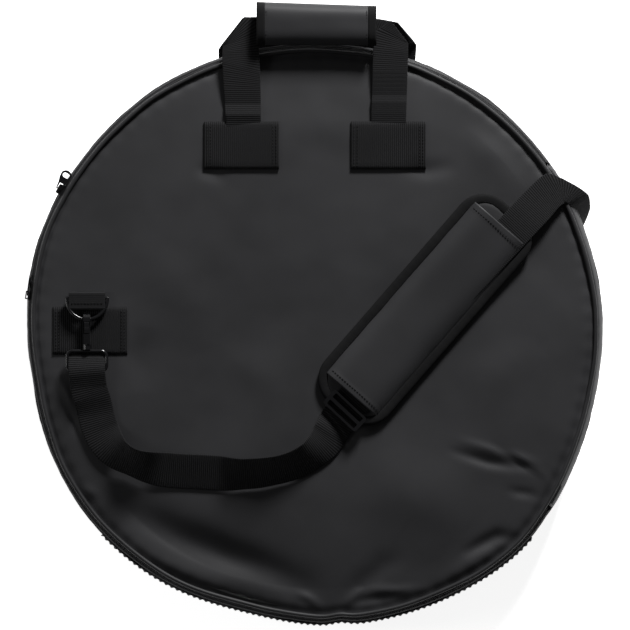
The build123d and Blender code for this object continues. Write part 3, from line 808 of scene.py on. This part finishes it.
REAR_LEGS = {
    "left": ([(-95.5, 205, 3.6), (-97, 216, 4.9), (-99, 244, 8.8), (-100.5, 270, 12.8),
              (-101.7, 290, 15.2), (-101.7, 299, 18), (-101.3, 300.5, 19), (-99, 303.5, 22)],
             [(-57, 205, 3.6), (-59, 216, 4.9), (-61, 244, 8.8), (-62, 270, 12.8),
              (-62, 291, 15.5), (-60, 305, 21), (-61, 320, 38), (-75.8, 331.5, 52)]),
    "right": ([(57.5, 205, 3.6), (59, 216, 4.9), (62, 244, 8.8), (65, 270, 12.8),
               (66, 290, 15.4), (65, 305, 21), (66, 320, 38), (86, 326.6, 48)],
              [(95.5, 205, 3.6), (97, 216, 4.9), (100, 244, 8.8), (102.5, 270, 12.8),
               (104.8, 289, 15.4), (105.9, 303, 19), (105.6, 304.8, 21), (103, 308, 26)]),
}
REAR_RUN = ([(-97, 304, 26), (-60, 299, 30), (0, 299, 30), (66, 299, 30), (103, 307, 27)],
            [(-76, 331, 51), (-60, 332, 51), (0, 332, 51), (70, 330, 50), (86, 327, 48)])


def edge_strip(name, edges, level=0.0):
    """Webbing between two given edge lines in mm, where its end is folded slantwise."""
    fine = np.linspace(0, 1, 160)
    left, right = (sample(fine, np.linspace(0, 1, len(edge)), np.array(edge, float) * MM)
                   + (0, 0, level) for edge in edges)
    return strip(name, (left + right) / 2, right - left)


def handles():
    """Legs from the patches, lifted over a small dip and folded at 45 degrees at the grip."""
    loop_z = middle_of("front_handle_webbing")[2]
    for side, edges in FRONT_LEGS.items():
        leg = edge_strip(f"front_leg_{side}", edges, loop_z)
        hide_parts("front_handle_webbing", "front_tails")
        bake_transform(leg)
    for side, edges in FRONT_RUNS.items():
        fasten(edge_strip(f"front_run_{side}", edges, loop_z - 1.9 * MM), "front_handle")
    for side, edges in REAR_LEGS.items():
        leg = edge_strip(f"rear_leg_{side}", edges)
        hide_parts("rear_handle_webbing", "rear_tails")
        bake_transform(leg)
    fasten(edge_strip("rear_run", REAR_RUN), "rear_handle")


# ---- shoulder pad ----
PAD_MIDDLE = Vector((114, 27, 0)) * MM
PAD_TURN = radians(49)
PAD_OUTLINE = (266 * MM, 77 * MM, 26 * MM)


def pad_place(x, y, z):
    """Pad coordinates (along, across, up) in metres to the row frame."""
    return (PAD_MIDDLE.x + x * cos(PAD_TURN) - y * sin(PAD_TURN),
            PAD_MIDDLE.y + x * sin(PAD_TURN) + y * cos(PAD_TURN), z)


def rounded_outline(length, width, corner, step=2.0 * MM):
    """Points round a rectangle with round corners, anticlockwise."""
    points = []
    half_l, half_w = length / 2 - corner, width / 2 - corner
    for cx, cy, start in ((half_l, half_w, 0), (-half_l, half_w, 90), (-half_l, -half_w, 180),
                          (half_l, -half_w, 270)):
        count = max(6, int(corner * pi / 2 / step))
        for k in range(count + 1):
            a = radians(start + 90 * k / count)
            points.append((cx + corner * cos(a), cy + corner * sin(a)))
    closed = np.array(points + points[:1])
    along = distances(closed)
    even = np.linspace(0, along[-1], int(along[-1] / step), endpoint=False)
    return sample(even, along, closed)


def pad_base():
    """Foam base in cloth: a low crowned form, pinched under its binding."""
    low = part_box("pad_backing")[0][2]
    outline = rounded_outline(*PAD_OUTLINE)
    spine = np.clip(outline[:, 0], -95 * MM, 95 * MM)
    shells = [(0.3, 7.2), (0.6, 7.1), (0.82, 6.9), (0.93, 6.3), (1.0, 4.6), (1.0, 2.6),
              (0.94, 0.5), (0.8, 0.1), (0.4, 0.0)]
    verts = []
    for scale, height in shells:
        for (x, y), s in zip(outline, spine):
            px, py = s + (x - s) * scale, y * scale
            dent = 0.5 * MM * bump_at(px * 22, py * 22, 4.0) if height > 4 else 0
            verts.append(pad_place(px, py, low + height * MM + dent))
    faces = bar_faces(len(shells), len(outline))
    base = make_piece("pad_base_cloth", verts, faces, SHELL)
    fasten(base, "shoulder_pad", "pad_backing", "pad_foam")


def pad_binding():
    """Bound edge: folded tape round the base, with its stitch row."""
    outline = rounded_outline(*PAD_OUTLINE, 1.6 * MM)
    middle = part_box("pad_binding")[0][2] + 3.9 * MM
    ahead = unit(np.roll(outline, -1, 0) - np.roll(outline, 1, 0))
    out = np.stack([ahead[:, 1], -ahead[:, 0]], 1)
    section = 14
    verts = []
    for i, ((x, y), o) in enumerate(zip(outline, out)):
        ripple = 0.05 * MM * sin(i * 1.1) + 0.3 * MM * bump_at(x * 40, y * 40, 1)
        for k in range(section):
            a = tau * k / section
            reach = squared_off(cos(a), 0.6) * (5.7 * MM)
            rise = squared_off(sin(a), 0.8) * (3.5 * MM + ripple)
            verts.append(pad_place(x + o[0] * reach, y + o[1] * reach, middle + rise))
    faces = grid_faces(len(outline), section, wrap_rows=True, wrap_cols=True)
    fasten(make_piece("pad_bound_edge", verts, faces, BINDING), "shoulder_pad",
           "pad_binding")
    row = [(pad_place(x - o[0] * 2.6 * MM, y - o[1] * 2.6 * MM, middle + 2.9 * MM), (0, 0, 1))
           for (x, y), o in zip(outline, out)]
    stitches("pad_edge_stitches", [row + row[:1]], "shoulder_pad")


def pad_face():
    """Vinyl face sewn down along both sides, crowned over the strap, hemmed at its open ends."""
    x0, x1, half = -117 * MM, 119 * MM, 36.5 * MM
    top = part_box("pad_face")[1][2] + 2.6 * MM
    side_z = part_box("pad_binding")[1][2] - 2.3 * MM
    rows, cols = 150, 40
    share = np.linspace(-1, 1, cols)
    share = np.sign(share) * np.abs(share) ** 0.85

    def crown_at(s):
        return 1 - abs(s) ** 4.4

    verts, uvs = [], []
    for layer in (0, 1):
        for x in np.linspace(x0, x1, rows):
            end = min(x - x0, x1 - x)
            hem = 0.35 * MM * (1 - min(1.0, max(0.0, end / MM - 6) / 3))
            for s in share:
                crown = crown_at(s)
                soft = bump_at(x * 14, s * 1.1, 2.0) * 0.8 * MM
                crease = 0.25 * MM * sin(x * 150 + 3 * s) * abs(s) ** 8
                z = side_z + (top - side_z) * crown + (soft * crown + crease) - 0.3 * MM
                z += hem * (0.4 + 0.6 * crown) if layer == 0 else -1.5 * MM
                verts.append(pad_place(x, s * half, z))
                uvs.append((s * half, x))
    face = make_piece("pad_vinyl_face", verts, slab_faces(rows, cols), VINYL, uvs)
    fasten(face, "shoulder_pad", "pad_face")
    seams = [[(pad_place(x, s * half, side_z + (top - side_z) * crown_at(s) + 0.35 * MM),
               (0, 0, 1)) for s in np.linspace(-0.93, 0.93, 40)]
             for x in (x0 + 6.2 * MM, x1 - 6.2 * MM)]
    stitches("pad_hem_stitches", seams, "shoulder_pad")


# ---- grip and webbing folds ----
def grip():
    """Padded grip closed round the webbing, with the flap that covers its top."""
    low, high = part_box("grip_wrap")
    x0, x1 = low[0], high[0]
    inner = (low[1] + 0.4 * MM, low[1] - 0.4 * MM)
    outer = (high[1] - 0.3 * MM, high[1] - 4.6 * MM)

    def edges(t):
        """The grip's inner and outer edge at a share t of its length."""
        return (inner[0] + (inner[1] - inner[0]) * t, outer[0] + (outer[1] - outer[0]) * t)

    rows, cols = 70, 40
    thick = high[2] - low[2]
    verts = []
    for t in np.linspace(0, 1, rows):
        x = x0 + 1.5 * MM + (x1 - x0 - 3 * MM) * t
        y0, y1 = edges(t)
        pinch = 1 - 0.10 * exp(-min(t, 1 - t) * 16)
        for k in range(cols):
            a = tau * k / cols
            py, pz = squared_off(cos(a), 0.45), squared_off(sin(a), 0.55)
            soft = bump_at(x * 30, py * 1.5, pz * 1.5) * 0.49 * MM
            verts.append((x, (y0 + y1) / 2 + py * (y1 - y0) / 2,
                          low[2] + thick / 2 + pz * (thick / 2 * pinch + soft)))
    wrap = make_piece("grip_padded_wrap", verts, bar_faces(rows, cols), VINYL)
    fasten(wrap, "front_handle", "grip_wrap", "grip_padding")

    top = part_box("grip_flap")[1][2]
    bed = high[2] - 0.6 * MM
    bound = (BINDING, "binding", "grip_bindings", 0.9 * MM)
    rows, half = 90, 18
    across = list(range(half)) + list(range(half - 1, -1, -1))
    for name, x_from, x_to, finish, slot_name, node_name, extra in (
            ("grip_flap_cloth", x0 + 6 * MM, x1 - 6 * MM, VINYL, "vinyl", "grip_flap", 0.0),
            ("grip_end_left", x0 - 0.4 * MM, x0 + 8.4 * MM, *bound),
            ("grip_end_right", x1 - 8.4 * MM, x1 + 0.4 * MM, *bound)):
        verts = []
        for x in np.linspace(x_from, x_to, rows):
            t = (x - x0) / (x1 - x0)
            y0, y1 = edges(t)
            y0, y1 = y0 - 0.9 * MM, y1 + 0.6 * MM
            edge = min(x - x_from, x_to - x) / (x_to - x_from)
            ends = 1 - exp(-min(t + 0.01, 1.01 - t) * 18)
            for k, j in enumerate(across):
                s = -1 + 2 * j / (half - 1)
                curve = 1 - abs(s) ** 3.2
                soft = bump_at(x * 26, s * 1.3, 8.0) * 0.6 * MM
                z = bed + (top - bed + 0.8 * MM) * curve * (0.75 + 0.25 * ends) + soft * curve
                z += extra * min(1.0, edge * 6) - 3.4 * MM * abs(s) ** 7
                z -= 1.4 * MM + extra if k >= half else 0
                verts.append((x, (y0 + y1) / 2 + s * (y1 - y0) / 2, z))
        piece = make_piece(name, verts, bar_faces(rows, 2 * half), finish)
        fasten(piece, "grip_flap", node_name)
    thread_rows = [[((x, y, top - 0.2 * MM), (0, 0, 1))
                    for y in np.linspace(low[1] + 5 * MM, high[1] - 7 * MM, 20)]
                   for x in (x0 + 9.6 * MM, x1 - 9.6 * MM)]
    stitches("grip_stitches", thread_rows, "grip_flap")


# ---- lining, foam, divider, tapes and ring tabs ----
def soft_layer(name, near, plain, inward, far_depth, radius, cloth, slot_name, tufts=0.5):
    """Round soft layer whose inner face lies at a depth below a panel's plain surface."""
    rings = np.concatenate([[4 * MM], np.linspace(12 * MM, radius, 60)])

    def far(x, y, r):
        return plain(r) + inward * (far_depth - soft_noise(x, y, 17.0, 40.0) * tufts * MM)

    return round_sheet(name, near, far, rings, cloth, segments=300)


def inner_layers(front_top):
    """Foam and brushed lining inside both panels, seen with the bag open."""
    foam, lining = (0.284, FOAM, "foam"), (0.286, LINING, "lining", 0.7)
    layer = soft_layer("front_foam_sheet", lambda x, y, r: front_top(x, y, r) - 1.8 * MM,
                       front_arc, -1, 9 * MM, *foam)
    fasten_across_hinge(layer, "front_padding", "spine_padding")
    layer = soft_layer("front_lining_cloth", lambda x, y, r: front_arc(r) - 9.2 * MM,
                       front_arc, -1, 10.3 * MM, *lining)
    fasten_across_hinge(layer, "front_lining", "spine_lining")
    layer = soft_layer("back_foam_sheet", lambda x, y, r: back_arc(r) + 1.6 * MM, back_arc, 1,
                       9.2 * MM, *foam)
    fasten(layer, "base", "back_padding")
    layer = soft_layer("back_lining_cloth", lambda x, y, r: back_arc(r) + 9.3 * MM, back_arc, 1,
                       10.4 * MM, *lining)
    fasten(layer, "base", "back_lining")
    for name, node_name, cloth, slot_name, thick, swell, shift in (
            ("gusset_lining_cloth", "gusset_lining", LINING, "lining", 1.4, 0.8, -7.4),
            ("gusset_foam_band", "gusset_padding", FOAM, "foam", 4.6, 0.3, -1.9)):
        wall = band(name, *heights_of(node_name), 0, tau, cloth, slot_name, rows=5,
                    thick=thick * MM, swell=swell * MM, shift=shift * MM)
        fasten(wall, "base", node_name)


def divider_page():
    """Loose brushed page, sewn in along the spine, lying in soft waves on the lower lining."""
    low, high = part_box("divider")
    radius, chord = high[1], high[0]
    middle, half_thick = middle_of("divider")[2], 0.9 * MM
    count = 110
    gx, share = np.meshgrid(np.linspace(low[0], chord, count), np.linspace(-1, 1, count),
                            indexing="ij")
    reach = np.sqrt(np.maximum(radius**2 - np.minimum(gx, radius) ** 2, (9 * MM) ** 2))
    x, y = gx.ravel(), (share * reach).ravel()
    edge = np.clip((radius - np.hypot(x, y)) / 0.05, 0, 1)
    wave = soft_noise(x, y, 7.0, 60.0) * 3.2 * MM * (0.35 + 0.65 * (1 - edge))
    wave *= np.clip((chord - x) / 0.05, 0, 1)
    verts = np.concatenate([np.stack([x, y, middle + side * half_thick + wave], 1)
                            for side in (1, -1)])
    page = make_piece("divider_page", verts, slab_faces(count, count), LINING)
    fasten(page, "divider", "divider")


def zip_tapes():
    """Woven tapes under the coils, and the stitched tabs at both ends of the zip."""
    for body in ("base", "lid"):
        node_name = f"zipper_tape_{body}"
        tape = band(f"{node_name}_cloth", *heights_of(node_name), ZIP_END + 0.012,
                    tau - ZIP_END - 0.012, TAPE, "zip_tape", rows=4, thick=0.9 * MM,
                    swell=0.25 * MM, shift=-0.2 * MM)
        fasten(tape, body, node_name)
    heights = heights_of("zipper_end_tabs")
    for side, sign in (("upper", 1), ("lower", -1)):
        middle = sign * (ZIP_END - radians(2.6))
        tab = band(f"zip_end_tab_{side}", *heights, middle - 0.036, middle + 0.036, VINYL,
                   "vinyl", rows=5, thick=1.2 * MM, swell=0.2 * MM, shift=0.9 * MM)
        fasten(tab, "base", "zipper_end_tabs")


def ring_tab(side, body, flip):
    """Webbing looped round the straight bar of a D-ring, its ends sewn down under the patch."""
    low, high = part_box(f"{side}_ring_tab")
    middle_x, _, z_mid = middle_of(f"{side}_ring_tab")
    toward, far = -flip, high[1] if side == "front" else low[1]
    radius = 2.9 * MM
    bar_y = far + toward * radius
    rows = []
    for depth in np.linspace(16 * MM, 0, 8):
        rows.append((bar_y + toward * depth, z_mid + flip * radius * (1 - 0.12 * depth / 0.016)))
    for a in np.radians(np.linspace(90, -90, 15)[1:]):
        rows.append((bar_y - toward * radius * cos(a), z_mid + flip * radius * sin(a)))
    rows.append((bar_y + toward * 9 * MM, z_mid - flip * radius))
    centres = [(middle_x, y, z) for y, z in rows]
    piece = ribbon(f"{side}_ring_loop", centres, [(1, 0, 0)] * len(centres), STRAP_W, 1.2 * MM)
    fasten(piece, body, f"{side}_ring_tab")
    if side == "front":
        rows = [[((middle_x + x, bar_y - 9 * MM, high[2] + 0.1 * MM), (0, 0, 1))
                 for x in np.linspace(-17 * MM, 17 * MM, 14)]]
        stitches("front_tab_stitches", rows, body)


def grip_strips():
    """Hook and loop strips under the grip's flap."""
    rows, cols = 60, 14
    for node_name, body in (("grip_loop_strip", "front_handle"), ("grip_hook_strip", "grip_flap")):
        low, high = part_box(node_name)
        verts = []
        for layer, level in ((0, high[2]), (1, low[2])):
            for x in np.linspace(low[0], high[0], rows):
                for y in np.linspace(low[1], high[1], cols):
                    verts.append((x, y, level + 0.25 * MM * bump_at(x * 900, y * 900, layer)))
        piece = make_piece(f"{node_name}_cloth", verts, slab_faces(rows, cols), HOOK_LOOP)
        fasten(piece, body, node_name)


top_surface = front_panel()
for build in (back_panel, pipings, gusset, scuff_guard, zip_coils):
    build()
inner_layers(top_surface)
divider_page()
zip_tapes()
patches(top_surface)
ring_tab("front", "lid", 1)
ring_tab("rear", "base", -1)
for build in (handles, grip, grip_strips, pad_base, pad_binding, pad_face):
    build()
for hardware_name in HARDWARE:
    materials = bpy.data.objects[hardware_name].data.materials
    materials.clear()
    materials.append(METAL)


# ---- floor and light ----
def studio():
    floor_mesh = bpy.data.meshes.new("floor")
    half = 4.0
    corners = [(-half, -half), (half, -half), (half, half), (-half, half)]
    floor_mesh.from_pydata([(*corner, -1 * MM) for corner in corners], [], [(0, 1, 2, 3)])
    floor = add_object("floor", floor_mesh)
    pale, shader = material("pale floor", (0.9, 0.9, 0.9), 0.9)
    set_inputs(shader, Emission_Color=(1, 1, 1, 1), Emission_Strength=0.85)
    floor_mesh.materials.append(pale)
    lights = [("key", (1.2, 3.7, 1.85), 385, 0.9), ("side", (-2.6, 0.2, 1.7), 16, 0.9)]
    for name, place, power, size in lights:
        data = bpy.data.lights.new(name, "AREA")
        data.energy, data.size = power, size
        lamp = add_object(name, data)
        lamp.location = place
        aim = Vector((0, 0, 0.05)) - Vector(place)
        lamp.rotation_euler = aim.to_track_quat("-Z", "Y").to_euler()
    world = bpy.data.worlds.new("world")
    world.use_nodes = True
    set_inputs(world.node_tree.nodes["Background"], Color=(1, 1, 1, 1), Strength=0.09)
    bpy.context.scene.world = world
    bpy.context.scene.view_settings.view_transform = "Standard"


studio()
